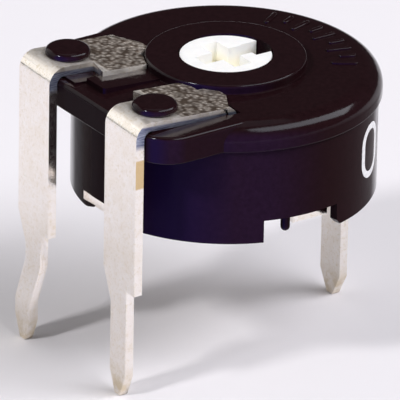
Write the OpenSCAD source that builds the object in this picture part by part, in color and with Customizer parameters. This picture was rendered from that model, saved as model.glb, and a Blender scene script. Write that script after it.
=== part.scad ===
// Small round trimmer potentiometer, top adjust, three flat board pins.
// Millimetres. +Z up, z = 0 at the pin tips, x = y = 0 on the rotor axis.

/* [Housing] */
// outer diameter of the top flange
flange_d = 10.1; // [10.0:0.05:10.3]
// outer diameter of the skirt
skirt_d = 9.88; // [9.7:0.02:9.96]
// skirt wall thickness
wall_t = 0.5; // [0.45:0.01:0.52]
// height of the flat top above the pin tips
top_z = 9.31; // [9.25:0.01:9.4]
// lower edge of the skirt above the pin tips
skirt_z = 5.17; // [5.0:0.01:5.25]
// rounding of the flange's top edge
flange_r = 0.65; // [0.3:0.05:0.7]
// diameter of the raised boss round the rotor
boss_d = 5.2; // [5.0:0.05:5.3]
// height of the boss above the flat top
boss_h = 0.31; // [0.2:0.01:0.4]
// radius of a stake head
stake_r = 0.74; // [0.6:0.02:0.84]

/* [Terminals] */
// pitch of the two end pins
pin_pitch = 5.0; // [4.9:0.05:5.1]
// thickness of the terminal sheet
sheet_t = 0.3; // [0.28:0.01:0.32]
// width of an end terminal's leg above its shoulders
leg_w = 1.76; // [1.7:0.01:1.8]
// width of an end pin
pin_w = 0.88; // [0.8:0.01:0.95]
// width of the collector's pin
collector_pin_w = 1.1; // [1.0:0.01:1.2]
// height of the board seating plane above the pin tips
seat_z = 3.775; // [3.6:0.025:3.8]
// how far the rear pin's tip stands outward
rear_crank = 0.38; // [0.0:0.02:0.4]

/* [Rotor] */
// diameter of the rotor's head
rotor_d = 2.98; // [2.94:0.01:3.0]
// radial running clearance of the rotor's head in the boss
rotor_gap = 0.04; // [0.02:0.01:0.08]
// width of the cross recess
slot_w = 0.62; // [0.5:0.02:0.66]
// depth of the cross recess
slot_depth = 0.75; // [0.4:0.05:0.8]

/* [Hidden] */
$fn = 96;
e = 0.01;
row_x = -5.665;          // outer face of the end legs
col_x = row_x + 10;      // inner face of the collector pin
flange_z = 8.4;          // underside of flange and lug
ceil_z = 8.55;           // underside of the top wall
cav_r = skirt_d / 2 - wall_t;
boss_z = top_z + boss_h;
lug_y = 4.15;
strip_a = 3.92;          // fall of the strips towards the rotor, degrees
strip_x0 = -5.2;         // where the sloping top of a strip begins
strip_z0 = top_z + 0.386; // top of the strip there
end_x = -1.85;           // outer face of a strip's inner tab
cut_r = boss_d / 2 + 0.03;
jog_x = -4.18;           // where a strip widens towards the middle
land_drop = 0.16;        // top of the land beside the rear strip, below the strip's top
yc = pin_pitch / 2;
el_t = 0.6;
el_z = ceil_z - el_t;    // track face of the element
bridge_z = skirt_z + 0.22; // underside of the collector's bridge
notch_z = skirt_z + 0.78;  // top of the side notches
rot_z0 = bridge_z + 1.01;  // underside of the rotor's flange
wip_z = rot_z0 - 0.14;     // underside of the wiper's ring
wip_t = 0.12;

// node to draw

// ring sector about +Z between two azimuths, less than half a turn
module sector(r0, r1, h, a0, a1) {
    L = 4 * r1;
    difference() {
        intersection() {
            cylinder(r = r1, h = h);
            translate([0, 0, -e]) linear_extrude(h + 2 * e)
                polygon([[0, 0], [L * cos(a0), L * sin(a0)],
                         [L * cos((a0 + a1) / 2), L * sin((a0 + a1) / 2)],
                         [L * cos(a1), L * sin(a1)]]);
        }
        if (r0 > 0) translate([0, 0, -1]) cylinder(r = r0, h = h + 2);
    }
}

// inner edge of a strip beside the boss, from the middle
function strip_in(s) = s > 0 ? 0.8 : 0.95;

// top face of a sloping strip at x
function strip_z(x) = strip_z0 - (x - strip_x0) * tan(strip_a);

// everything lower than d below the strips' top face
module strip_profile(d) {
    translate([0, 6, 0]) rotate([90, 0, 0]) linear_extrude(12)
        polygon([[-6, 8], [0, 8], [0, strip_z(0) - d], [-6, strip_z(-6) - d]]);
}

module stake(y) {
    // post through the strip and its domed head
    sz = strip_z(-4.4);
    translate([-4.4, y, 0]) {
        translate([0, 0, flange_z + 0.3]) cylinder(r = 0.45, h = sz - flange_z - 0.3 + 0.1);
        translate([0, 0, sz + 0.03]) rotate_extrude() union() {
            square([stake_r, 0.1]);
            translate([0, 0.1]) square([stake_r - 0.16, 0.16]);
            intersection() {
                translate([stake_r - 0.16, 0.1]) circle(r = 0.16, $fn = 48);
                square([stake_r + 1, 1]);
            }
        }
    }
}

module lug() {
    cr = 1.1;
    lx = row_x + sheet_t;
    // plate with rounded outer corners
    translate([lx, -lug_y + cr, flange_z]) cube([-lx - 2.0, 2 * (lug_y - cr), top_z - flange_z]);
    translate([lx + cr, -lug_y, flange_z]) cube([-lx - cr - 2.6, 2 * lug_y, top_z - flange_z]);
    for (s = [-1, 1]) translate([lx + cr, s * (lug_y - cr), flange_z]) cylinder(r = cr, h = top_z - flange_z);
}

// plan of an end terminal's strip, seen from above, for s = -1 front or +1 rear
module strip_plan(s, g = 0) {
    difference() {
        union() {
            translate([row_x - 1, s > 0 ? yc - leg_w / 2 - g : -yc - leg_w / 2 - g])
                square([end_x - row_x + 1 + g, leg_w + 2 * g]);
            polygon([[jog_x + 0.18 - g, s * yc], [jog_x + 0.18 - g, s * (yc - leg_w / 2)], [jog_x - g, s * (strip_in(s) - g)],
                     [end_x + g, s * (strip_in(s) - g)], [end_x + g, s * yc]]);
        }
        circle(r = cut_r - g);
    }
}

module housing() {
    color([0.05, 0.05, 0.06]) {
        difference() {
            union() {
                // flange with a rounded top edge
                rotate_extrude() union() {
                    square([flange_d / 2 - flange_r, top_z]);
                    translate([0, flange_z]) square([flange_d / 2, top_z - flange_r - flange_z]);
                    translate([flange_d / 2 - flange_r, top_z - flange_r]) circle(r = flange_r, $fn = 64);
                }
                // skirt
                cylinder(d = skirt_d, h = flange_z + 0.1);
                lug();
                // wedges that carry the two sloping strips
                for (s = [-1, 1]) intersection() {
                    translate([0, 0, top_z - 0.2]) linear_extrude(1) strip_plan(s);
                    translate([-6, -6, top_z - 0.1]) cube([6, 12, 1]);
                    strip_profile(0.31);
                }
                // low ledge inside the rear strip, and the land between the strips
                intersection() {
                    translate([row_x + sheet_t + 0.28, 1.0, top_z - 0.1]) cube([jog_x - row_x - sheet_t - 0.28, 0.9, 1]);
                    strip_profile(0.31);
                }
                intersection() {
                    translate([-4.72, -0.1, top_z - 0.1]) cube([2.6, 1.0, 1]);
                    strip_profile(land_drop);
                }
                cylinder(d = boss_d, h = boss_z);
            }
            // body below the flange is cut back to the skirt
            translate([0, 0, -1]) difference() {
                cylinder(r = 9, h = flange_z + 1);
                translate([0, 0, -1]) cylinder(d = skirt_d, h = flange_z + 3);
            }
            translate([0, 0, -1]) cylinder(r = 9, h = skirt_z + 1);
            // cavity and rotor bore
            translate([0, 0, skirt_z - 1]) cylinder(r = cav_r, h = ceil_z - skirt_z + 1);
            translate([0, 0, ceil_z - 1]) cylinder(d = rotor_d + 2 * rotor_gap, h = 3);
            // pockets under the sloping strips and slots for their tabs
            for (s = [-1, 1]) {
                intersection() {
                    linear_extrude(20) strip_plan(s, 0.03);
                    translate([0, 6, 0]) rotate([90, 0, 0]) linear_extrude(12)
                        polygon([[-5.2, strip_z(-5.2) - 0.31], [end_x + 0.03, strip_z(end_x) - 0.31],
                                 [end_x + 0.03, 12], [-5.2, 12]]);
                }
                // relief under the strip's inner bend
                translate([end_x - 0.42, s > 0 ? 2.28 : -yc - leg_w / 2 - 0.14, 8.95])
                    cube([0.45, yc + leg_w / 2 + 0.14 - 2.28, 2]);
                translate([end_x - 0.36, s > 0 ? 2.28 : -yc - leg_w / 2 - 0.03, ceil_z - 1])
                    cube([0.39, yc + leg_w / 2 + 0.03 - 2.28, 3]);
            }
            // rounded outer edge of the lug, clear of the terminals' bends
            translate([0, 6, 0]) rotate([90, 0, 0]) linear_extrude(12) difference() {
                translate([row_x + sheet_t - 1, 9.1 - 9.31 + top_z]) square([1.28, 2]);
                translate([row_x + sheet_t + 0.28, 9.1 - 9.31 + top_z]) circle(r = 0.285, $fn = 64);
            }
            // notches in the skirt's lower edge
            for (a = [-93.3, 93.3]) translate([0, 0, skirt_z - 1]) sector(cav_r - 1, 8, notch_z - skirt_z + 1, a - 15.9, a + 15.9);
            translate([0, 0, skirt_z - 1]) sector(cav_r - 1, 8, bridge_z + sheet_t + 0.02 - skirt_z + 1, -9, 9);
            // window for the bridge's far end, open below on one half
            translate([0, 0, bridge_z - 0.02]) sector(cav_r - 1, 8, sheet_t + 0.04, 171, 189);
            translate([0, 0, skirt_z - 1]) sector(cav_r - 1, 8, bridge_z + sheet_t + 0.02 - skirt_z + 1, 178.6, 189);
        }
        // small pegs in the side notches
        for (s = [-1, 1]) translate([-0.61, s * (cav_r - 0.06), skirt_z + 0.03]) cylinder(r = 0.17, h = notch_z - skirt_z + 0.2);
        for (s = [-1, 1]) stake(s * yc);
        // block that the rotor's tab stops against
        translate([0, 0, 6.4]) intersection() {
            sector(3.0, cav_r + 0.1, 1.1, 135, 225);
            cylinder(r = cav_r + 0.1, h = 2);
        }
    }
}

module element() {
    color([0.42, 0.26, 0.12])
    translate([0, 0, el_z]) difference() {
        cylinder(r = cav_r - 0.01, h = el_t - 0.01);
        translate([0, 0, -1]) cylinder(r = 2.2, h = 3);
        // mouth of the horseshoe and holes for the tabs
        translate([-6, -0.6, -1]) cube([6, 1.2, 3]);
        for (s = [-1, 1]) translate([end_x - 0.36, s > 0 ? 2.28 : -yc - leg_w / 2 - 0.03, -1])
            cube([0.39, yc + leg_w / 2 + 0.03 - 2.28, 3]);
    }
}

// quarter-like bend of sheet about an axis along Y: centre c, from angle a0 to a1
module bend(cx, cz, r_in, a0, a1, y0, y1) {
    translate([cx, y1, cz]) rotate([90, 0, 0]) difference() {
        intersection() {
            cylinder(r = r_in + sheet_t, h = y1 - y0);
            translate([0, 0, -e]) linear_extrude(y1 - y0 + 2 * e)
                polygon([[0, 0], [5 * cos(a0), 5 * sin(a0)],
                         [5 * cos((a0 + a1) / 2), 5 * sin((a0 + a1) / 2)], [5 * cos(a1), 5 * sin(a1)]]);
        }
        translate([0, 0, -1]) cylinder(r = r_in, h = y1 - y0 + 2);
    }
}

// s = -1 front, +1 rear; crank = outward set of the pin's tip
module end_terminal(s, crank) {
    ri = 0.25;
    y0 = s * yc - leg_w / 2;
    y1 = s * yc + leg_w / 2;
    // outer bend, tangent to the leg and to the sloping strip
    cx = row_x + ri + sheet_t;
    cz = strip_z(cx) - (ri + sheet_t) / cos(strip_a);
    bend(cx, cz, ri, 90 - strip_a, 180, y0, y1);
    // sloping strip
    ax = cx + (ri + sheet_t) * sin(strip_a);
    az = cz + (ri + sheet_t) * cos(strip_a);
    bx = end_x - (0.1 + sheet_t);
    difference() {
        union() {
            intersection() {
                translate([0, 6, 0]) rotate([90, 0, 0]) linear_extrude(12)
                    polygon([[ax, az], [ax - sheet_t * sin(strip_a), az - sheet_t * cos(strip_a)],
                             [bx + 0.1 * sin(strip_a), strip_z(bx) - sheet_t / cos(strip_a)],
                             [bx + 0.1 * sin(strip_a), strip_z(bx + 0.1 * sin(strip_a))]]);
                linear_extrude(20) strip_plan(s);
            }
            // bend and tab through the housing's top
            intersection() {
                union() {
                    bend(bx, strip_z(bx) - (0.1 + sheet_t) / cos(strip_a), 0.1, 0, 90 + 0, -6, 6);
                    translate([end_x - sheet_t, -6, el_z]) cube([sheet_t, 12, strip_z(bx) - (0.1 + sheet_t) / cos(strip_a) - el_z + e]);
                }
                translate([-4, s > 0 ? 2.3 : -yc - leg_w / 2, 0]) cube([4, yc + leg_w / 2 - 2.3, 20]);
            }
        }
        // hole for the stake
        translate([-4.4, s * yc, 5]) cylinder(r = 0.46, h = 10);
    }
    // leg with one square and one sloping shoulder, and the pin
    zt = cz + e;
    intersection() {
        translate([-20, s * yc, 0]) rotate([90, 0, 90]) linear_extrude(40)
            polygon([[-leg_w / 2, zt], [-leg_w / 2, seat_z], [-pin_w / 2, seat_z], [-pin_w / 2, 0.75],
                     [-0.14, 0], [0.14, 0], [pin_w / 2, 0.75], [pin_w / 2, seat_z - 0.6],
                     [leg_w / 2, seat_z + 0.45], [leg_w / 2, zt]]);
        translate([row_x, 6, 0]) rotate([90, 0, 0]) linear_extrude(12)
            polygon([[0, zt], [0, 2.6], [-crank, 1.35], [-crank, 0], [-crank + sheet_t, 0],
                     [-crank + sheet_t, 1.4], [sheet_t, 2.65], [sheet_t, zt]]);
    }
}

module end_terminal_rear() { color([0.72, 0.71, 0.69]) end_terminal(1, rear_crank); }
module end_terminal_front() { color([0.72, 0.71, 0.69]) end_terminal(-1, 0); }

module collector_terminal() {
    zt = bridge_z + sheet_t;
    ri = 0.12;
    bx = col_x - ri;
    color([0.72, 0.71, 0.69]) {
        translate([0, 0, bridge_z]) {
            // bridge across the open underside, with two side arms and a round contact pad
            translate([-4.85, -collector_pin_w / 2, 0]) cube([4.85 + bx + e, collector_pin_w, sheet_t]);
            translate([-0.25, -4.3, 0]) cube([1.32, 8.6, sheet_t]);
            cylinder(r = 1.5, h = sheet_t);
        }
        // bend down into the pin
        bend(bx, zt - ri - sheet_t, ri, 0, 90, -collector_pin_w / 2, collector_pin_w / 2);
        translate([col_x, 0, 0]) rotate([90, 0, 90]) linear_extrude(sheet_t)
            polygon([[-collector_pin_w / 2, zt - ri - sheet_t + e], [-collector_pin_w / 2, 0.75], [-0.16, 0],
                     [0.16, 0], [collector_pin_w / 2, 0.75], [collector_pin_w / 2, zt - ri - sheet_t + e]]);
    }
}

module rotor() {
    hz = boss_z - 0.04;
    color([0.93, 0.93, 0.9])
    difference() {
        union() {
            cylinder(d = rotor_d, h = hz);
            translate([0, 0, rot_z0]) cylinder(r = 2.6, h = 1.3);
            translate([0, 0, rot_z0]) sector(0, 4.1, 0.9, -17.5, 17.5);
        }
        translate([0, 0, -1]) cylinder(r = 5, h = rot_z0 + 1);
        // clearance over the wiper's contact dimple
        translate([0, 0, rot_z0 - 1]) cylinder(r = 0.6, h = 1.4);
        // cross recess, and the pointer slot that opens at the rim
        translate([-0.98, -slot_w / 2, hz - slot_depth]) cube([1.96, slot_w, 2]);
        translate([-slot_w / 2, -0.98, hz - slot_depth]) cube([slot_w, 1.96, 2]);
        translate([0.8, -0.56, hz - slot_depth]) cube([2, 0.92, 2]);
        // slot for the wiper's riser
        translate([2.68, -0.46, rot_z0 - 1]) cube([0.32, 0.92, 3]);
    }
}

module wiper() {
    color([0.75, 0.55, 0.25]) {
        translate([0, 0, wip_z]) cylinder(r = 2.2, h = wip_t);
        // dimple that rubs on the collector's pad
        translate([0, 0, bridge_z + sheet_t + 0.02]) cylinder(r1 = 0.2, r2 = 0.5, h = wip_z - bridge_z - sheet_t - 0.02 + e);
        // arm, riser and finger up to the track
        translate([0, -0.4, wip_z]) cube([2.9, 0.8, wip_t]);
        translate([2.9 - wip_t, -0.4, wip_z]) cube([wip_t, 0.8, el_z - 0.12 - wip_z]);
        translate([2.9 - wip_t, -0.4, el_z - 0.12 - wip_t]) cube([0.65, 0.8, wip_t]);
        translate([3.3, 0.4, el_z - 0.02 - 0.12]) rotate([90, 0, 0]) cylinder(r = 0.12, h = 0.8, $fn = 32);
    }
}

housing();
element();
end_terminal_rear();
end_terminal_front();
collector_terminal();
rotor();
wiper();
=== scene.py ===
import math
import bpy
import bmesh
from mathutils import Matrix, Vector


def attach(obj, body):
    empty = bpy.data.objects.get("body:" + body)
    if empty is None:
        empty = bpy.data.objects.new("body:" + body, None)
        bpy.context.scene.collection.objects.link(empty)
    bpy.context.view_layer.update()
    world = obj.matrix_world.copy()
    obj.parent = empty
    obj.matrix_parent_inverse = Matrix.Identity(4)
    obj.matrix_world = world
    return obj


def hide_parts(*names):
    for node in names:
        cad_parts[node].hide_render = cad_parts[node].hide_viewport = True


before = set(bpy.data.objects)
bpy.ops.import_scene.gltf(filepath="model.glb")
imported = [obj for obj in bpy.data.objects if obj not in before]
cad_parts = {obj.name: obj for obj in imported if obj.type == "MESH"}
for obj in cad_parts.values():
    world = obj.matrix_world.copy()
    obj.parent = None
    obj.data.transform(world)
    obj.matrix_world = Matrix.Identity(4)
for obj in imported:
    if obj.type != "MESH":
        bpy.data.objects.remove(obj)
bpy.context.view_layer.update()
MM = 0.001

# ------------------------------------------------------------------ dimensions (mm), as in the part's source
FLANGE_R, SKIRT_R, CAV_R = 5.05, 4.94, 4.44
TOP_Z, SKIRT_Z, FLANGE_Z, CEIL_Z = 9.31, 5.17, 8.4, 8.55
FILLET = 0.65
BOSS_R, BOSS_Z = 2.6, 9.62
ROW_X, SHEET = -5.665, 0.3
LUG_X = ROW_X + SHEET
LUG_Y = 4.15
YC, LEG_W = 2.5, 1.76
END_X = -1.85
CUT_R = BOSS_R + 0.03
STRIP_IN = {1: 0.8, -1: 0.95}
JOG_X = -4.18
LAND_DROP = 0.16
BRIDGE_Z = SKIRT_Z + 0.22
NOTCH_Z = SKIRT_Z + 0.78
STAKE_R = 0.73


def strip_z(x):
    """Top face of a sloping strip."""
    return TOP_Z + 0.386 - (x + 5.2) * math.tan(math.radians(3.92))


# ------------------------------------------------------------------ mesh helpers, all in mm
def obj_from_bm(bm, name):
    bmesh.ops.recalc_face_normals(bm, faces=bm.faces)
    me = bpy.data.meshes.new(name)
    bm.to_mesh(me)
    bm.free()
    ob = bpy.data.objects.new(name, me)
    bpy.context.scene.collection.objects.link(ob)
    return ob


def revolve(profile, name, n=224):
    """Closed solid from an (r, z) outline that starts and ends on the axis, or a closed ring outline."""
    bm = bmesh.new()
    rings = []
    for r, z in profile:
        if r < 1e-6:
            rings.append([bm.verts.new((0, 0, z))])
        else:
            rings.append([bm.verts.new((r * math.cos(2 * math.pi * i / n), r * math.sin(2 * math.pi * i / n), z)) for i in range(n)])
    closed = profile[0][0] > 1e-6
    pairs = list(zip(rings, rings[1:])) + ([(rings[-1], rings[0])] if closed else [])
    for a, b in pairs:
        for i in range(n):
            j = (i + 1) % n
            if len(a) == 1 and len(b) == 1:
                continue
            if len(a) == 1:
                bm.faces.new((a[0], b[i], b[j]))
            elif len(b) == 1:
                bm.faces.new((a[i], a[j], b[0]))
            else:
                bm.faces.new((a[i], a[j], b[j], b[i]))
    return obj_from_bm(bm, name)


def prism(points, lo, hi, name, axis="Z"):
    """Solid from a flat outline: axis Z takes (x, y) points, axis Y takes (x, z), axis X takes (y, z)."""
    bm = bmesh.new()

    def at(p, t):
        if axis == "Z":
            return (p[0], p[1], t)
        if axis == "Y":
            return (p[0], t, p[1])
        return (t, p[0], p[1])
    a = [bm.verts.new(at(p, lo)) for p in points]
    b = [bm.verts.new(at(p, hi)) for p in points]
    bm.faces.new(a)
    bm.faces.new(list(reversed(b)))
    n = len(points)
    for i in range(n):
        j = (i + 1) % n
        bm.faces.new((a[i], b[i], b[j], a[j]))
    return obj_from_bm(bm, name)


def box(x0, y0, z0, x1, y1, z1, name="box"):
    return prism([(x0, y0), (x1, y0), (x1, y1), (x0, y1)], z0, z1, name)


def arc(cx, cy, r, a0, a1, n):
    return [(cx + r * math.cos(math.radians(a0 + (a1 - a0) * i / n)), cy + r * math.sin(math.radians(a0 + (a1 - a0) * i / n))) for i in range(n + 1)]


def sector(r0, r1, z0, z1, a0, a1, name="sector", n=24):
    return prism(arc(0, 0, r1, a0, a1, n) + (list(reversed(arc(0, 0, r0, a0, a1, n))) if r0 > 0 else [(0, 0)]), z0, z1, name)


def round_rect(x0, y0, x1, y1, r, n=8):
    return (arc(x1 - r, y1 - r, r, 0, 90, n) + arc(x0 + r, y1 - r, r, 90, 180, n)
            + arc(x0 + r, y0 + r, r, 180, 270, n) + arc(x1 - r, y0 + r, r, 270, 360, n))


def inset(points, d):
    """A convex outline moved inwards."""
    out = []
    n = len(points)
    for i in range(n):
        a, b, c = Vector(points[i - 1]), Vector(points[i]), Vector(points[(i + 1) % n])
        n1 = Vector((b - a).to_tuple()).normalized()
        n2 = Vector((c - b).to_tuple()).normalized()
        m1, m2 = Vector((-n1.y, n1.x)), Vector((-n2.y, n2.x))
        m = (m1 + m2) / (1 + m1.dot(m2))
        out.append((b.x + m.x * d, b.y + m.y * d))
    return out


def rounded_prism(points, z0, z1, r0, r1, name, n=4):
    """Solid over a convex outline, counter-clockwise, with rounded lower and upper rims."""
    rows = [(r0 * (1 - math.sin(math.pi / 2 * k / n)), z0 + r0 * (1 - math.cos(math.pi / 2 * k / n))) for k in range(n + 1)] if r0 else [(0, z0)]
    rows += [(r1 * (1 - math.cos(math.pi / 2 * k / n)), z1 - r1 * (1 - math.sin(math.pi / 2 * k / n))) for k in range(n + 1)] if r1 else [(0, z1)]
    bm = bmesh.new()
    rings = [[bm.verts.new((x, y, z)) for x, y in inset(points, d)] for d, z in rows]
    bm.faces.new(list(reversed(rings[0])))
    bm.faces.new(rings[-1])
    m = len(points)
    for a, b in zip(rings, rings[1:]):
        for i in range(m):
            j = (i + 1) % m
            bm.faces.new((a[i], a[j], b[j], b[i]))
    return obj_from_bm(bm, name)


def apply_mods(ob):
    dg = bpy.context.evaluated_depsgraph_get()
    dg.update()
    me = bpy.data.meshes.new_from_object(ob.evaluated_get(dg))
    ob.modifiers.clear()
    old = ob.data
    ob.data = me
    bpy.data.meshes.remove(old)


def boolean(ob, cutters, op="DIFFERENCE", keep=False):
    for c in cutters:
        m = ob.modifiers.new("b", "BOOLEAN")
        m.operation = op
        m.object = c
        m.solver = "EXACT"
        apply_mods(ob)
        if not keep:
            me = c.data
            bpy.data.objects.remove(c)
            bpy.data.meshes.remove(me)
    return ob


def clean(ob, dist=0.002, flat=0.3):
    """Welds, and dissolves edges between coplanar faces."""
    bm = bmesh.new()
    bm.from_mesh(ob.data)
    bmesh.ops.remove_doubles(bm, verts=bm.verts, dist=dist)
    bmesh.ops.dissolve_limit(bm, angle_limit=math.radians(flat), verts=bm.verts, edges=bm.edges)
    bmesh.ops.recalc_face_normals(bm, faces=bm.faces)
    bm.to_mesh(ob.data)
    bm.free()


def bevel(ob, width, segments=2, angle=32, clamp=True):
    m = ob.modifiers.new("bevel", "BEVEL")
    m.width = width
    m.segments = segments
    m.limit_method = "ANGLE"
    m.angle_limit = math.radians(angle)
    m.use_clamp_overlap = clamp
    m.miter_outer = "MITER_ARC"
    m.harden_normals = False
    apply_mods(ob)


def shade(ob, angle=38):
    """Smooth faces, sharp where the surface turns more than the angle, with area-weighted normals."""
    me = ob.data
    me.polygons.foreach_set("use_smooth", [True] * len(me.polygons))
    me.set_sharp_from_angle(angle=math.radians(angle))
    w = ob.modifiers.new("wn", "WEIGHTED_NORMAL")
    w.keep_sharp = True
    w.mode = "FACE_AREA"
    w.weight = 50


def shell_normal(x, y, z, fn):
    """The true normal of the turned housing at a point, for a face with about that normal, or None."""
    r = math.hypot(x, y)
    if r < 1e-6:
        return None
    ux, uy = x / r, y / r
    found = []
    for rad, lo, hi, sgn in ((SKIRT_R, SKIRT_Z + 0.05, FLANGE_Z - 0.02, 1), (FLANGE_R, FLANGE_Z + 0.04, TOP_Z - FILLET + 0.002, 1),
                             (BOSS_R, TOP_Z - 0.5, BOSS_Z - 0.098, 1), (CAV_R, SKIRT_Z + 0.03, CEIL_Z - 0.04, -1), (1.53, CEIL_Z, BOSS_Z, -1)):
        if abs(r - rad) < 0.006 and lo <= z <= hi:
            found.append(Vector((sgn * ux, sgn * uy, 0)))
    rc, zc = FLANGE_R - FILLET, TOP_Z - FILLET
    if r > rc - 0.001 and z > zc - 0.001 and abs(math.hypot(r - rc, z - zc) - FILLET) < 0.006:
        a, b = max(0.0, (r - rc) / FILLET), max(0.0, (z - zc) / FILLET)
        found.append(Vector((ux * a, uy * a, b)).normalized())
    for v in found:
        if v.dot(fn) > 0.985:
            return v
    return None


def true_normals(ob):
    """Area-weighted normals everywhere, and the turned shape's own where the face lies on it."""
    apply_mods(ob)
    me = ob.data
    normals = [Vector(c.vector) for c in me.corner_normals]
    for poly in me.polygons:
        fn = poly.normal
        for li in poly.loop_indices:
            co = me.vertices[me.loops[li].vertex_index].co
            v = shell_normal(co.x, co.y, co.z, fn)
            if v is None and abs(fn.z) > 0.9999:
                v = Vector((0, 0, 1 if fn.z > 0 else -1))
            if v is not None:
                normals[li] = v
    me.normals_split_custom_set([tuple(v) for v in normals])


def to_metres(ob):
    ob.data.transform(Matrix.Scale(MM, 4))
    ob.data.update()


def copy_node(name, new_name):
    """A CAD node's mesh in mm, welded, as a new piece."""
    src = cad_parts[name]
    me = src.data.copy()
    me.materials.clear()
    ob = bpy.data.objects.new(new_name, me)
    bpy.context.scene.collection.objects.link(ob)
    me.transform(Matrix.Scale(1000.0, 4))
    bm = bmesh.new()
    bm.from_mesh(me)
    bmesh.ops.remove_doubles(bm, verts=bm.verts, dist=0.0005)
    bmesh.ops.dissolve_limit(bm, angle_limit=math.radians(0.4), verts=bm.verts, edges=bm.edges)
    bmesh.ops.recalc_face_normals(bm, faces=bm.faces)
    bm.to_mesh(me)
    bm.free()
    for a in list(me.attributes):
        if a.name in ("custom_normal", "sharp_face", "sharp_edge"):
            me.attributes.remove(a)
    return ob


# ------------------------------------------------------------------ node helpers for materials
class Mat:
    def __init__(self, name):
        self.m = bpy.data.materials.new(name)
        self.m.use_nodes = True
        self.t = self.m.node_tree
        self.n = self.t.nodes
        self.b = self.n["Principled BSDF"]
        tc = self.n.new("ShaderNodeTexCoord")
        mp = self.n.new("ShaderNodeMapping")
        mp.inputs["Scale"].default_value = (1000, 1000, 1000)
        self.t.links.new(tc.outputs["Object"], mp.inputs["Vector"])
        self.co = mp.outputs["Vector"]  # object coordinates in mm

    def link(self, a, b):
        self.t.links.new(a, b)

    def set(self, **kw):
        for k, v in kw.items():
            self.b.inputs[k.replace("_", " ")].default_value = v

    def noise(self, scale, detail=3, rough=0.5, vec=None, stretch=None):
        v = vec or self.co
        if stretch:
            mp = self.n.new("ShaderNodeMapping")
            mp.inputs["Scale"].default_value = stretch
            self.link(v, mp.inputs["Vector"])
            v = mp.outputs["Vector"]
        x = self.n.new("ShaderNodeTexNoise")
        x.inputs["Scale"].default_value = scale
        x.inputs["Detail"].default_value = detail
        x.inputs["Roughness"].default_value = rough
        self.link(v, x.inputs["Vector"])
        return x.outputs["Fac"]

    def voronoi(self, scale, feature="F1", out="Distance", stretch=None):
        v = self.co
        if stretch:
            mp = self.n.new("ShaderNodeMapping")
            mp.inputs["Scale"].default_value = stretch
            self.link(v, mp.inputs["Vector"])
            v = mp.outputs["Vector"]
        x = self.n.new("ShaderNodeTexVoronoi")
        x.feature = feature
        x.inputs["Scale"].default_value = scale
        self.link(v, x.inputs["Vector"])
        return x.outputs[out]

    def ramp(self, fac, stops):
        x = self.n.new("ShaderNodeValToRGB")
        e = x.color_ramp.elements
        while len(e) < len(stops):
            e.new(0.5)
        for i, (p, c) in enumerate(stops):
            e[i].position = p
            e[i].color = (*c, 1) if len(c) == 3 else c
        self.link(fac, x.inputs["Fac"])
        return x.outputs["Color"]

    def rng(self, fac, a, b, c, d, smooth=False):
        x = self.n.new("ShaderNodeMapRange")
        if smooth:
            x.interpolation_type = "SMOOTHSTEP"
        for k, v in zip(("From Min", "From Max", "To Min", "To Max"), (a, b, c, d)):
            x.inputs[k].default_value = v
        self.link(fac, x.inputs["Value"])
        return x.outputs["Result"]

    def math(self, op, a, b=None, clamp=False):
        x = self.n.new("ShaderNodeMath")
        x.operation = op
        x.use_clamp = clamp
        for i, v in enumerate((a, b)):
            if v is None:
                continue
            if isinstance(v, (int, float)):
                x.inputs[i].default_value = v
            else:
                self.link(v, x.inputs[i])
        return x.outputs[0]

    def xyz(self):
        x = self.n.new("ShaderNodeSeparateXYZ")
        self.link(self.co, x.inputs[0])
        return x.outputs

    def normal_xyz(self):
        g = self.n.new("ShaderNodeTexCoord")
        x = self.n.new("ShaderNodeSeparateXYZ")
        self.link(g.outputs["Normal"], x.inputs[0])  # in the object's own axes, so it turns with the part
        return x.outputs

    def mix(self, fac, a, b):
        x = self.n.new("ShaderNodeMix")
        x.data_type = "RGBA"
        if isinstance(fac, (int, float)):
            x.inputs[0].default_value = fac
        else:
            self.link(fac, x.inputs[0])
        for i, v in ((6, a), (7, b)):
            if isinstance(v, tuple):
                x.inputs[i].default_value = (*v, 1)
            else:
                self.link(v, x.inputs[i])
        return x.outputs[2]

    def bump(self, height, dist_mm, strength=1.0, normal=None):
        x = self.n.new("ShaderNodeBump")
        x.inputs["Strength"].default_value = strength
        x.inputs["Distance"].default_value = dist_mm * MM
        self.link(height, x.inputs["Height"])
        if normal is not None:
            self.link(normal, x.inputs["Normal"])
        return x.outputs["Normal"]

    def out(self, socket, value):
        self.link(value, self.b.inputs[socket])


def clamp01(m, v):
    return m.math("MAXIMUM", m.math("MINIMUM", v, 1.0), 0.0)


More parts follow.
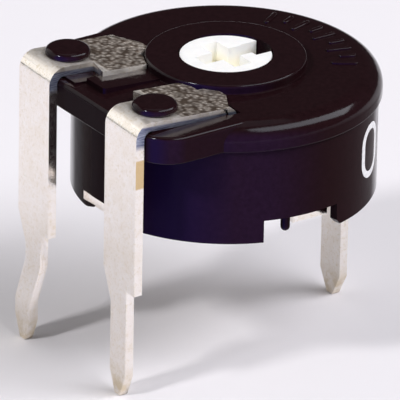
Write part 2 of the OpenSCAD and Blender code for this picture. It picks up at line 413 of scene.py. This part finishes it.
# ------------------------------------------------------------------ materials
def mat_housing():
    m = Mat("black_thermoset")
    m.set(Metallic=0.0, IOR=1.5, Specular_Tint=(0.86, 0.93, 1.0, 1))
    fine = m.noise(6.0, 4, 0.6)
    blot = m.noise(0.7, 3, 0.55)
    warm = m.ramp(fine, [(0.3, (0.0100, 0.0034, 0.0044)), (0.7, (0.0150, 0.0054, 0.0068))])
    cool = m.ramp(fine, [(0.3, (0.0180, 0.0070, 0.0225)), (0.7, (0.0240, 0.0096, 0.0310))])
    nx, ny, nz = m.normal_xyz()
    # painted light tint by face direction: faces turned towards -X and -Y take the cool navy-violet tone, the rest the
    # warm maroon one
    side = m.rng(m.math("ADD", m.math("MULTIPLY", nx, -0.6), m.math("MULTIPLY", ny, -0.8)), 0.68, 1.0, 0.0, 0.9, True)
    painted_facing_tint = m.mix(side, warm, cool)
    # painted shade: faces turned towards -X are darkened
    painted_facing_tint = m.mix(m.math("MULTIPLY", m.rng(nx, -0.6, -0.95, 0.0, 0.8), m.rng(ny, -0.35, -0.05, 0.0, 1.0)), painted_facing_tint, (0.0060, 0.0022, 0.0038))
    # painted reflection: a navy-blue sheen on faces turned towards -X and -Y
    painted_facing_tint = m.mix(m.math("MULTIPLY", m.rng(nx, -0.5, -0.8, 0.0, 0.75), m.rng(ny, -0.3, -0.5, 0.0, 1.0)), painted_facing_tint, (0.0115, 0.0060, 0.0480))
    # painted light tint: a reddish tone on faces turned towards -Y
    m.out("Base Color", m.mix(m.math("MULTIPLY", m.rng(ny, -0.4, -0.9, 0.0, 0.5), m.rng(nx, -0.3, 0.1, 0.0, 1.0)), painted_facing_tint, (0.0185, 0.0062, 0.0080)))
    lw = m.n.new("ShaderNodeLayerWeight")
    lw.inputs["Blend"].default_value = 0.5
    up_face = m.rng(nz, 0.25, 0.6, 1.0, 0.12)
    rim = m.math("MULTIPLY", m.rng(lw.outputs["Facing"], 0.76, 0.93, 0.0, 0.5, True), up_face)
    wall = m.rng(m.math("ABSOLUTE", nz), 0.1, 0.25, 0.02, 0.105)
    edge = m.math("MULTIPLY", m.rng(nz, 0.12, 0.35, 0.0, 0.04), m.rng(nz, 0.93, 0.99, 1.0, 0.0))
    m.out("Specular IOR Level", m.math("ADD", m.math("ADD", rim, edge), wall))
    r = m.rng(blot, 0.35, 0.65, 0.09, 0.15)
    m.out("Roughness", m.math("ADD", r, m.rng(fine, 0.3, 0.7, -0.01, 0.03)))
    grain = m.noise(28.0, 2, 0.5)
    slow = m.noise(1.1, 2, 0.5)
    nrm = m.bump(grain, 0.003, 0.2)
    m.out("Normal", m.bump(slow, 0.06, 0.22, nrm))
    return m.m


def mat_tin():
    m = Mat("tinned_sheet")
    m.set(Metallic=1.0)
    x, y, z = m.xyz()
    nx, ny, nz = m.normal_xyz()
    mott = m.noise(3.2, 4, 0.6)
    cloud = m.noise(0.9, 3, 0.55)
    speck = m.voronoi(7.0)
    base = m.ramp(mott, [(0.3, (0.90, 0.835, 0.765)), (0.5, (0.95, 0.90, 0.85)), (0.7, (0.97, 0.935, 0.90))])
    base = m.mix(m.rng(cloud, 0.45, 0.7, 0.0, 0.35), base, (0.87, 0.79, 0.68))
    fleck = m.noise(9.0, 3, 0.65)
    base = m.mix(m.rng(fleck, 0.53, 0.68, 0.0, 0.55), base, (0.74, 0.64, 0.47))
    # depth below a strip's top face
    depth = m.math("SUBTRACT", m.math("SUBTRACT", 9.696, m.math("MULTIPLY", m.math("ADD", x, 5.2), 0.06852)), z)
    on_edge = m.math("MULTIPLY", m.rng(m.math("ABSOLUTE", ny), 0.7, 0.9, 0, 1), m.rng(z, 8.8, 9.0, 0, 1))
    low = m.math("MULTIPLY", on_edge, m.rng(depth, 0.12, 0.17, 0, 1))
    low = m.math("MULTIPLY", low, m.rng(m.math("ABSOLUTE", m.math("SUBTRACT", y, 0.87)), 0.2, 0.3, 0, 1))
    streak = m.ramp(m.noise(3.0, 3, 0.6, stretch=(0.6, 1, 9)), [(0.35, (0.16, 0.17, 0.30)), (0.65, (0.55, 0.60, 0.72))])
    base = m.mix(low, base, streak)
    # knurled contact area of the strips' top faces
    knurl = m.math("MULTIPLY", m.rng(nz, 0.9, 0.97, 0, 1), m.math("MULTIPLY", m.rng(x, -4.0, -3.9, 0, 1), m.rng(z, 9.0, 9.1, 0, 1)))
    # dull flat of the strip round the stake
    dull = m.math("MULTIPLY", m.math("MULTIPLY", m.rng(nz, 0.6, 0.8, 0, 1), m.rng(z, 9.3, 9.4, 0, 1)), m.math("SUBTRACT", 1.0, knurl))
    lump = m.voronoi(7.0, "SMOOTH_F1")
    lump2 = m.noise(5.0, 3, 0.6)
    kcol = m.ramp(m.math("ADD", m.math("MULTIPLY", lump, 0.9), m.math("MULTIPLY", lump2, 0.35)),
                  [(0.22, (0.94, 0.88, 0.81)), (0.48, (0.64, 0.56, 0.49)), (0.72, (0.24, 0.18, 0.14))])
    base = m.mix(knurl, base, kcol)
    # brassy where the sheet is sheared or the tin is thin: pin tips and a patch of the front leg's flank
    tip = m.rng(z, 1.3, 0.2, 0.0, 0.75, True)
    base = m.mix(m.math("MULTIPLY", tip, m.rng(m.noise(2.2, 3, 0.6), 0.38, 0.6, 0.15, 1.0)), base, (0.66, 0.54, 0.34))
    patch = m.math("MULTIPLY", m.math("MULTIPLY", m.rng(z, 7.47, 7.52, 0, 1), m.rng(z, 8.5, 8.45, 0, 1)),
                   m.math("MULTIPLY", m.rng(ny, -0.7, -0.9, 0, 1), m.rng(y, -3.3, -3.36, 0, 1)))
    base = m.mix(m.math("MULTIPLY", patch, 0.85), base, (0.66, 0.46, 0.20))
    m.out("Base Color", base)
    rough = m.math("ADD", m.rng(mott, 0.3, 0.7, 0.17, 0.26), m.rng(speck, 0.0, 0.6, 0.03, -0.02))
    extra = m.math("ADD", m.math("MULTIPLY", knurl, 0.3), m.math("ADD", m.math("MULTIPLY", dull, 0.34), m.math("MULTIPLY", on_edge, 0.3)))
    extra = m.math("ADD", extra, m.rng(x, 3.6, 3.9, 0.0, 0.2))
    m.out("Metallic", m.rng(x, 3.6, 3.9, 1.0, 0.6))
    m.out("Roughness", m.math("ADD", rough, extra))
    n1 = m.bump(m.noise(9.0, 3, 0.55), 0.010, 0.35)
    n2 = m.bump(cloud, 0.06, 0.25, n1)
    m.out("Normal", m.bump(m.math("MULTIPLY", knurl, m.math("ADD", lump, lump2)), 0.05, 0.9, n2))
    return m.m


def mat_rotor():
    m = Mat("white_rotor_plastic")
    m.set(Metallic=0.0, IOR=1.5, Roughness=0.42)
    n = m.noise(2.4, 3, 0.5)
    base = m.ramp(n, [(0.35, (0.91, 0.91, 0.905)), (0.65, (0.96, 0.96, 0.95))])
    x, y, z = m.xyz()
    deep = m.rng(z, 9.45, 8.95, 0.0, 1.0, True)
    base = m.mix(deep, base, (0.97, 0.93, 0.78))
    m.out("Base Color", base)
    m.out("Roughness", m.rng(m.noise(5.0, 3, 0.5), 0.3, 0.7, 0.36, 0.5))
    m.out("Normal", m.bump(m.noise(16.0, 2, 0.5), 0.006, 0.3))
    m.b.inputs["Subsurface Weight"].default_value = 0.15
    m.b.inputs["Subsurface Radius"].default_value = (0.0006, 0.0005, 0.0004)
    m.b.inputs["Subsurface Scale"].default_value = 1.0
    return m.m


def mat_element():
    m = Mat("element_laminate")
    x, y, z = m.xyz()
    r = m.math("SQRT", m.math("ADD", m.math("MULTIPLY", x, x), m.math("MULTIPLY", y, y)))
    base = m.ramp(m.noise(5.0, 4, 0.6, stretch=(1, 3, 1)), [(0.3, (0.17, 0.085, 0.03)), (0.7, (0.28, 0.15, 0.06))])
    # printed track on the underside
    track = m.math("MULTIPLY", m.rng(r, 2.72, 2.76, 0, 1), m.rng(r, 3.86, 3.82, 0, 1))
    track = m.math("MULTIPLY", track, m.rng(z, 8.0, 7.96, 0, 1))
    base = m.mix(track, base, (0.012, 0.012, 0.013))
    m.out("Base Color", base)
    m.out("Roughness", m.rng(track, 0, 1, 0.5, 0.34))
    m.out("Normal", m.bump(m.noise(20.0, 2, 0.5), 0.006, 0.4))
    return m.m


def mat_wiper():
    m = Mat("spring_alloy")
    m.set(Metallic=1.0)
    m.out("Base Color", m.ramp(m.noise(4.0, 3, 0.55), [(0.3, (0.72, 0.50, 0.24)), (0.7, (0.83, 0.63, 0.36))]))
    m.out("Roughness", m.rng(m.noise(3.0, 3, 0.5, stretch=(1, 12, 1)), 0.3, 0.7, 0.22, 0.36))
    m.out("Normal", m.bump(m.noise(3.0, 2, 0.5, stretch=(1, 30, 1)), 0.004, 0.5))
    return m.m


def mat_mark():
    m = Mat("white_marking_paint")
    m.set(Metallic=0.0)
    m.out("Base Color", m.ramp(m.noise(7.0, 4, 0.6), [(0.35, (0.70, 0.70, 0.72)), (0.6, (0.85, 0.85, 0.86))]))
    m.out("Roughness", m.rng(m.noise(5.0, 3, 0.5), 0.3, 0.7, 0.4, 0.55))
    m.out("Normal", m.bump(m.noise(14.0, 2, 0.5), 0.004, 0.4))
    return m.m


M_MARK = mat_mark()
M_HOUSING, M_TIN, M_ROTOR, M_ELEMENT, M_WIPER = mat_housing(), mat_tin(), mat_rotor(), mat_element(), mat_wiper()


# ------------------------------------------------------------------ housing
def strip_plan(s, g=0.0):
    """Outline of an end terminal's strip seen from above, grown by g."""
    yo = s * (YC + LEG_W / 2 + g)
    yi = s * (YC - LEG_W / 2 - g)
    y2 = s * (STRIP_IN[s] - g)
    r = CUT_R - g
    a_in = math.degrees(math.asin(min(1, abs(y2) / r)))
    xe = END_X + g
    a_out = math.degrees(math.acos(min(1, max(-1, -xe / r))))
    pts = [(ROW_X - 1, yo), (xe, yo)]
    pts += [(r * math.cos(math.radians(180 - a)), s * r * math.sin(math.radians(180 - a)))
            for a in [a_out + (a_in - a_out) * i / 14 for i in range(15)]]
    pts += [(JOG_X - g, y2), (JOG_X + 0.18 - g, yi), (ROW_X - 1, yi)]
    return pts


def below_strips(d, name):
    """Everything lower than d below the strips' top face."""
    return prism([(-6, 8), (0, 8), (0, strip_z(0) - d), (-6, strip_z(-6) - d)], -6, 6, name, "Y")


def end_corner(s, g=0.0):
    """Flat corner of a strip beyond the inner bend, seen from above, grown by g."""
    pts = [(-2.4, 3.38 + g), (-2.18 + g, 3.38 + g), (-1.64 + g, 2.42 + g)]
    pts += [(-(CUT_R - g) * math.cos(math.radians(a)), (CUT_R - g) * math.sin(math.radians(a))) for a in (51, 49, 46, 43, 40)]
    pts += [(-2.4, 1.69 - g)]
    return [(x, s * y) for x, y in pts]


def make_housing():
    fil = arc(FLANGE_R - FILLET, TOP_Z - FILLET, FILLET, 0, 90, 14)
    body = revolve([(0, BOSS_Z), (BOSS_R - 0.1, BOSS_Z)] + [(BOSS_R - 0.1 + 0.1 * math.sin(math.radians(a)), BOSS_Z - 0.1 + 0.1 * math.cos(math.radians(a))) for a in (22.5, 45, 67.5, 90)]
                   + [(BOSS_R, TOP_Z + 0.05), (BOSS_R + 0.015, TOP_Z + 0.015), (BOSS_R + 0.05, TOP_Z)]
                   + list(reversed(fil))
                   + [(FLANGE_R, FLANGE_Z + 0.05), (FLANGE_R - 0.02, FLANGE_Z + 0.01), (SKIRT_R + 0.03, FLANGE_Z), (SKIRT_R, FLANGE_Z - 0.03),
                      (SKIRT_R, SKIRT_Z + 0.06), (SKIRT_R - 0.02, SKIRT_Z + 0.015), (SKIRT_R - 0.06, SKIRT_Z),
                      (CAV_R + 0.04, SKIRT_Z), (CAV_R, SKIRT_Z + 0.04), (CAV_R, CEIL_Z - 0.05), (CAV_R - 0.05, CEIL_Z), (1.53, CEIL_Z), (1.53, CEIL_Z + 0.001), (0, CEIL_Z + 0.001)], "housing_shell")
    lug = rounded_prism(round_rect(LUG_X, -LUG_Y, 1.0, LUG_Y, 1.1, 12), FLANGE_Z, TOP_Z, 0.05, 0.14, "lug")
    cav = revolve([(0, FLANGE_Z - 3), (CAV_R + 0.0, FLANGE_Z - 3), (CAV_R + 0.0, CEIL_Z), (0, CEIL_Z)], "cav")
    boolean(lug, [cav])
    # rounded outer edge of the lug
    c = (LUG_X + 0.28, TOP_Z - 0.21)
    lug_cut = prism([(LUG_X - 1, c[1]), (c[0] - 0.285, c[1])] + [(c[0] - 0.285 * math.cos(math.radians(a)), c[1] + 0.285 * math.sin(math.radians(a))) for a in (15, 30, 45, 60, 75)]
                    + [(c[0], c[1] + 0.285), (c[0], TOP_Z + 1), (LUG_X - 1, TOP_Z + 1)], -6, 6, "lugcut", "Y")
    boolean(lug, [lug_cut])
    boolean(body, [lug], "UNION")
    # wedges that carry the strips, the low ledge inside the rear one and the land between them
    for s in (-1, 1):
        w = prism(strip_plan(s), TOP_Z - 0.1, TOP_Z + 0.8, "wedge")
        boolean(w, [box(-6, -6, 8, LUG_X + 0.28, 6, 12), box(-3.6, -6, 8, 6, 6, 12)])
        boolean(w, [below_strips(0.31, "wk")], "INTERSECT")
        boolean(body, [w], "UNION")
    ledge = box(LUG_X + 0.28, 1.0, TOP_Z - 0.1, JOG_X, 1.9, TOP_Z + 0.8, "ledge")
    boolean(ledge, [below_strips(0.31, "lk")], "INTERSECT")
    boolean(body, [ledge], "UNION")
    land = prism(round_rect(-4.72, -0.1, -2.12, 1.2, 0.1, 4), TOP_Z - 0.1, TOP_Z + 0.8, "land")
    boolean(land, [box(-5, 0.9, 8, 0, 3, 12)])
    boolean(land, [below_strips(LAND_DROP, "nk")], "INTERSECT")
    boolean(body, [land], "UNION")
    cuts = []
    cuts.append(revolve([(0, CEIL_Z - 1), (1.53, CEIL_Z - 1), (1.53, 12), (0, 12)], "bore", 128))
    for s in (-1, 1):
        p = prism(strip_plan(s, 0.03), 6, 12, "pk")
        k = prism([(-5.2, strip_z(-5.2) - 0.31), (END_X + 0.03, strip_z(END_X) - 0.31), (END_X + 0.03, 12), (-5.2, 12)], -6, 6, "pkk", "Y")
        boolean(p, [k], "INTERSECT")
        cuts.append(p)
        y0, y1 = (2.28, YC + LEG_W / 2 + 0.03) if s > 0 else (-YC - LEG_W / 2 - 0.03, -2.28)
        cuts.append(box(END_X - 0.36, y0, CEIL_Z - 1, END_X + 0.03, y1, 11, "slot"))
        cuts.append(prism(end_corner(s, 0.03), 9.12, 12, "corner"))
        # relief under the strip's inner bend
        y0, y1 = (2.28, YC + LEG_W / 2 + 0.14) if s > 0 else (-YC - LEG_W / 2 - 0.14, -2.28)
        cuts.append(box(END_X - 0.42, y0, 8.95, END_X + 0.03, y1, 11, "relief"))
    # notches in the skirt's lower edge
    for a in (-93.3, 93.3):
        cuts.append(sector(CAV_R - 1, 7, SKIRT_Z - 1, NOTCH_Z, a - 15.9, a + 15.9))
    cuts.append(sector(CAV_R - 1, 7, SKIRT_Z - 1, BRIDGE_Z + SHEET + 0.02, -9, 9))
    w = sector(CAV_R - 1, 7, BRIDGE_Z - 0.02, BRIDGE_Z + SHEET + 0.02, 171, 189)
    w2 = sector(CAV_R - 1, 7, SKIRT_Z - 1, BRIDGE_Z + SHEET + 0.02, 178.6, 189)
    boolean(w, [w2], "UNION")
    cuts.append(w)
    # the thin lip under the window tapers off
    cuts.append(prism([(-0.3, 5.0), (0.74, 5.0), (0.7, 5.18), (0.45, 5.24), (0.15, 5.345), (-0.3, 5.38)], -6, -4.2, "taper", "X"))
    # chamfered foot beside the front notch, thinner towards the cavity
    ch = prism([(-0.3, 0.5), (-0.3, -0.3), (0.5, -0.3)], 4.1, 5.4, "foot_chamfer", "X")
    ch.data.transform(Matrix.Rotation(math.radians(-77.4), 4, "Z") @ Matrix.Translation((0, 0, SKIRT_Z)))
    cuts.append(ch)
    cuts.append(sector(CAV_R - 1, CAV_R + 0.22, SKIRT_Z - 1, NOTCH_Z - 0.1, -79, -73))
    boolean(body, cuts)
    # pegs and stop block
    adds = []
    for s in (-1, 1):
        z0 = SKIRT_Z + 0.09
        peg = revolve([(0, z0), (0.062, z0 + 0.014), (0.115, z0 + 0.053), (0.15, z0 + 0.12), (0.155, z0 + 0.2), (0.155, NOTCH_Z + 0.23), (0, NOTCH_Z + 0.23)], "peg", 24)
        peg.data.transform(Matrix.Translation((-0.61, s * (CAV_R - 0.06), 0)))
        adds.append(peg)
    adds.append(sector(3.0, CAV_R + 0.1, 6.4, 7.5, 135, 225, "stop"))
    boolean(body, adds, "UNION")
    clean(body, 0.003, 0.25)
    bevel(body, 0.05, 3, 32, True)
    shade(body)
    true_normals(body)
    return body


housing = make_housing()
housing.name = "housing_shell"


def make_stake(s):
    sz = strip_z(-4.4)
    r, h = STAKE_R, 0.26
    prof = [(0, sz + 0.03 + h)]
    prof += [(r * 0.55, sz + 0.03 + h - 0.004)]
    prof += [(r - 0.17 + 0.17 * math.sin(math.radians(a)), sz + 0.03 + h - 0.17 + 0.17 * math.cos(math.radians(a))) for a in (0, 18, 36, 54, 72, 90)]
    prof += [(r, sz + 0.06), (r - 0.03, sz + 0.03), (0.45, sz + 0.03), (0.45, 8.7), (0, 8.7)]
    ob = revolve(prof, "stake_%s" % ("rear" if s > 0 else "front"), 72)
    ob.data.transform(Matrix.Translation((-4.4, s * YC, 0)))
    shade(ob, 50)
    return ob


stakes = [make_stake(1), make_stake(-1)]



def make_ticks():
    """Plain raised scale ticks on the flat ring."""
    bm = bmesh.new()
    for i in range(9):
        a = math.radians(-34 + 8.4 * i)
        r0, r1 = (3.45, 4.15) if i % 2 == 0 else (3.75, 4.15)
        u, v = Vector((math.cos(a), math.sin(a), 0)), Vector((-math.sin(a), math.cos(a), 0))
        rows = []
        for grow, z in ((0.0, TOP_Z - 0.02), (0.0, TOP_Z + 0.035), (-0.022, TOP_Z + 0.062), (-0.05, TOP_Z + 0.07)):
            ring = []
            for cr, sgn in ((r1, 1), (r0, -1)):
                for k in range(7):
                    t = math.radians(-90 + 30 * k) if sgn > 0 else math.radians(90 + 30 * k)
                    h = 0.085 + grow
                    ring.append(bm.verts.new(u * (cr + h * math.cos(t)) + v * (h * math.sin(t)) + Vector((0, 0, z))))
            rows.append(ring)
        bm.faces.new(list(reversed(rows[0])))
        bm.faces.new(rows[-1])
        for lo, hi in zip(rows, rows[1:]):
            for k in range(len(lo)):
                j = (k + 1) % len(lo)
                bm.faces.new((lo[k], lo[j], hi[j], hi[k]))
    ob = obj_from_bm(bm, "scale_ticks")
    shade(ob, 40)
    return ob


def wall_strip(bm, path, width, closed):
    """A painted line of the given width along a path of (arc length, z) points on the skirt's wall."""
    n = len(path)
    rings = []
    for i in range(n):
        a = Vector(path[i - 1] if (i > 0 or closed) else path[i])
        c = Vector(path[(i + 1) % n] if (i < n - 1 or closed) else path[i])
        t = (c - a).normalized()
        m = Vector((-t.y, t.x)) * width / 2
        p = Vector(path[i])
        row = []
        for q, r in ((p - m, SKIRT_R - 0.015), (p - m, SKIRT_R + 0.006), (p + m, SKIRT_R + 0.006), (p + m, SKIRT_R - 0.015)):
            az = q.x / SKIRT_R
            row.append(bm.verts.new((r * math.cos(az), r * math.sin(az), q.y)))
        rings.append(row)
    for i in range(n if closed else n - 1):
        a, b = rings[i], rings[(i + 1) % n]
        for k in range(4):
            j = (k + 1) % 4
            bm.faces.new((a[k], a[j], b[j], b[k]))
    if not closed:
        bm.faces.new(rings[0])
        bm.faces.new(list(reversed(rings[-1])))


def make_number():
    """A plain 0 and 1 painted on the wall."""
    bm = bmesh.new()
    u0 = math.radians(-60.5) * SKIRT_R
    wall_strip(bm, round_rect(u0, 6.25, u0 + 1.12, 7.9, 0.54, 7), 0.22, True)
    u1 = u0 + 1.75
    wall_strip(bm, [(u1, 6.14 + 0.187 * i) for i in range(11)], 0.22, False)
    ob = obj_from_bm(bm, "wall_number")
    shade(ob, 40)
    return ob


ticks, number = make_ticks(), make_number()
for ob in [housing, ticks] + stakes:
    ob.data.materials.append(M_HOUSING)
    to_metres(ob)
    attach(ob, "body")
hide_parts("housing")
number.data.materials.append(M_MARK)
to_metres(number)
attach(number, "body")

# ------------------------------------------------------------------ metal pieces
for node, new in (("end_terminal_rear", "end_leg_rear"), ("end_terminal_front", "end_leg_front"), ("collector_terminal", "collector_leg")):
    ob = copy_node(node, new)
    if node == "collector_terminal":
        boolean(ob, [prism(round_rect(-4.9, -0.5, -4.3, 0.8, 0.1, 5), BRIDGE_Z, BRIDGE_Z + SHEET, "tongue")], "UNION")
        clean(ob, 0.001, 0.3)
    else:
        side = 1 if node.endswith("rear") else -1
        flap = prism(end_corner(side), 8, 11, "flap")
        boolean(flap, [prism([(-6, strip_z(-6)), (0, strip_z(0)), (0, strip_z(0) - 0.3), (-6, strip_z(-6) - 0.3)], -6, 6, "slab", "Y")], "INTERSECT")
        boolean(ob, [flap], "UNION")
        clean(ob, 0.002, 0.3)
    bevel(ob, 0.045, 2, 30, True)
    shade(ob)
    ob.data.materials.append(M_TIN)
    to_metres(ob)
    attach(ob, "body")
    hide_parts(node)


# ------------------------------------------------------------------ rotor
rotor = copy_node("rotor", "rotor_head")
bevel(rotor, 0.03, 2, 30, True)
shade(rotor)
rotor.data.materials.append(M_ROTOR)
to_metres(rotor)
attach(rotor, "rotor_set")
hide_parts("rotor")

for node, mat in (("element", M_ELEMENT), ("wiper", M_WIPER)):
    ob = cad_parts[node]
    if not ob.material_slots:
        ob.data.materials.append(mat)
    for sl in ob.material_slots:
        sl.material = mat


# ------------------------------------------------------------------ floor, light, camera
def floor_material():
    m = Mat("pale_floor")
    m.set(Roughness=0.9, Metallic=0.0)
    m.out("Base Color", m.ramp(m.noise(0.05, 2, 0.5), [(0.3, (0.80, 0.785, 0.82)), (0.7, (0.82, 0.805, 0.84))]))
    m.out("Normal", m.bump(m.noise(2.0, 3, 0.5), 0.01, 0.2))
    return m.m


bm = bmesh.new()
bmesh.ops.create_grid(bm, x_segments=2, y_segments=2, size=1.5)
floor = obj_from_bm(bm, "floor")
floor.location = (0, 0, -0.00002)
floor.data.materials.append(floor_material())

A, E, ROLL = math.radians(-34.493), math.radians(25.087), math.radians(1.117)
Bv = Vector((math.sin(A) * math.cos(E), -math.cos(A) * math.cos(E), math.sin(E)))
right = Vector((math.cos(A), math.sin(A), 0))
upv = Bv.cross(right)
Rv = right * math.cos(ROLL) + upv * math.sin(ROLL)
Uv = -right * math.sin(ROLL) + upv * math.cos(ROLL)
d, f = 212.54, 6629.93
T = Vector((0, 0, 8))
C = T + Bv * d - Rv * ((224.872 - 200) / f * d) + Uv * ((98.939 - 200) / f * d)
cam_data = bpy.data.cameras.new("camera")
cam = bpy.data.objects.new("camera", cam_data)
bpy.context.scene.collection.objects.link(cam)
cam_data.sensor_width = 36
cam_data.lens = f / 400 * 36
cam_data.clip_start = 0.01
cam_data.clip_end = 10
rot = Matrix((Rv, Uv, Bv)).transposed().to_4x4()
cam.matrix_world = Matrix.Translation(C * MM) @ rot
bpy.context.scene.camera = cam


def area(name, az, el, dist, size, power, color=(1, 1, 1), along=(0, 0, 1)):
    """Soft panel in a direction from the part, with its first side along the given direction."""
    ld = bpy.data.lights.new(name, "AREA")
    ld.shape = "RECTANGLE"
    ld.size, ld.size_y = size
    ld.energy = power
    ld.color = color
    ob = bpy.data.objects.new(name, ld)
    bpy.context.scene.collection.objects.link(ob)
    a, e = math.radians(az), math.radians(el)
    n = Vector((math.cos(a) * math.cos(e), math.sin(a) * math.cos(e), math.sin(e)))
    t = Vector(along)
    x = (t - n * t.dot(n)).normalized()
    y = n.cross(x)
    ob.matrix_world = Matrix.Translation(n * dist + Vector((0, 0, 0.004))) @ Matrix((x, y, n)).transposed().to_4x4()
    return ob


area("lamp_left", -177.5, 42.2, 0.545, (0.066, 0.066), 1.22, (1.0, 0.985, 0.98))
area("softbox_right", -45, 47, 0.5, (0.62, 0.21), 2.8, (0.98, 0.97, 1.0), (0.811, 0.350, -0.470))
area("panel_left_rear", 130, 27, 0.5, (0.78, 0.42), 1.05, (1.0, 0.98, 0.95), (-0.766, -0.643, 0))
area("top_fill", 55, 80, 0.6, (0.42, 0.42), 0.3, (0.97, 0.96, 1.0), (1, 0, 0))

world = bpy.data.worlds.new("world")
bpy.context.scene.world = world
world.use_nodes = True
bg = world.node_tree.nodes["Background"]
bg.inputs["Color"].default_value = (0.90, 0.89, 0.93, 1)
bg.inputs["Strength"].default_value = 0.045
bpy.context.scene.view_settings.view_transform = "Standard"
